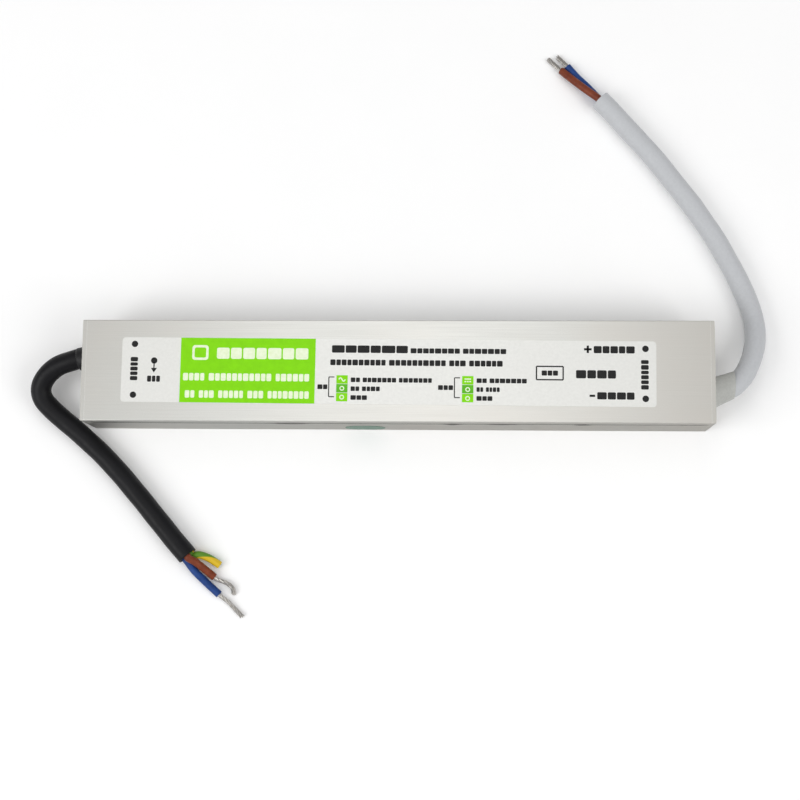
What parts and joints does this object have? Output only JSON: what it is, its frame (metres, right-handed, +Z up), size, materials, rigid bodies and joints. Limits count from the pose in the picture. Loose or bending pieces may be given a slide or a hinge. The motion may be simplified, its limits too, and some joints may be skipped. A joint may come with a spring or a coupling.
{
  "type": "led driver",
  "caption": "Slim sealed LED driver: aluminium channel and cover with end plates, a potted power circuit inside, a black mains input cable and a white low-voltage output cable with bare ends.",
  "frame": {"origin": "middle of the housing's underside", "axes": "+X from the input end to the output end, +Z up through the label face, +Y across the housing"},
  "size_m": [0.221, 0.1748, 0.0201],
  "materials": {
    "extruded_aluminium": "satin, fine lengthwise die lines",
    "plate_aluminium": "satin, stamped sheet",
    "screw_steel": "bright zinc",
    "black_rubber": "matte",
    "pale_rubber": "matte",
    "label_film": "silver film, satin",
    "sticker_paper": "printed film",
    "sheet_film": "translucent film",
    "board_laminate": "solder mask",
    "fuse_body": "glazed tube with metal caps",
    "varistor_coat": "dipped coating",
    "film_cap_case": "moulded case",
    "ring_coat": "coated ferrite",
    "copper_wire": "enamelled",
    "black_moulding": "moulded epoxy",
    "bulk_sleeve": "shrink sleeve",
    "output_sleeve": "shrink sleeve",
    "resistor_coat": "lacquer",
    "grey_ferrite": "ground ferrite",
    "bobbin_phenolic": "moulded phenolic",
    "winding_tape": "polyester tape",
    "disc_coat": "dipped coating",
    "inner_lead_input": "extruded insulation",
    "inner_lead_output": "extruded insulation",
    "potting_resin": "cast resin",
    "black_sheath": "matte",
    "white_sheath": "satin",
    "green_yellow_core": "striped insulation",
    "brown_core": "insulation",
    "blue_core": "insulation",
    "tinned_copper": "twisted, tinned"
  },
  "bodies": {
    "root": {"base_channel": "extruded_aluminium", "top_cover": "extruded_aluminium", "input_end_plate": "plate_aluminium", "output_end_plate": "plate_aluminium", "input_plate_screws": "screw_steel", "output_plate_screws": "screw_steel", "input_grommet": "black_rubber", "output_grommet": "pale_rubber", "label": "label_film", "inspection_sticker": "sticker_paper", "insulating_sheet": "sheet_film", "circuit_board": "board_laminate", "fuse": "fuse_body", "surge_varistor": "varistor_coat", "x_capacitor": "film_cap_case", "line_choke_core": "ring_coat", "line_choke_windings": "copper_wire", "output_choke_winding": "copper_wire", "bridge_rectifier": "black_moulding", "controller_chip": "black_moulding", "switching_transistor": "black_moulding", "optocoupler": "black_moulding", "output_rectifier": "black_moulding", "bulk_capacitors": "bulk_sleeve", "output_capacitors": "output_sleeve", "snubber_resistors": "resistor_coat", "transformer_core": "grey_ferrite", "output_choke_core": "grey_ferrite", "transformer_bobbin": "bobbin_phenolic", "transformer_winding": "winding_tape", "y_capacitor": "disc_coat", "input_inner_leads": "inner_lead_input", "output_inner_leads": "inner_lead_output", "potting_compound": "potting_resin", "input_cable": "black_sheath", "output_cable": "white_sheath", "input_earth_core": "green_yellow_core", "input_live_core": "brown_core", "output_positive_core": "brown_core", "input_neutral_core": "blue_core", "output_negative_core": "blue_core", "input_live_tip": "tinned_copper", "input_neutral_tip": "tinned_copper", "output_positive_tip": "tinned_copper", "output_negative_tip": "tinned_copper"}
  },
  "joints": []
}
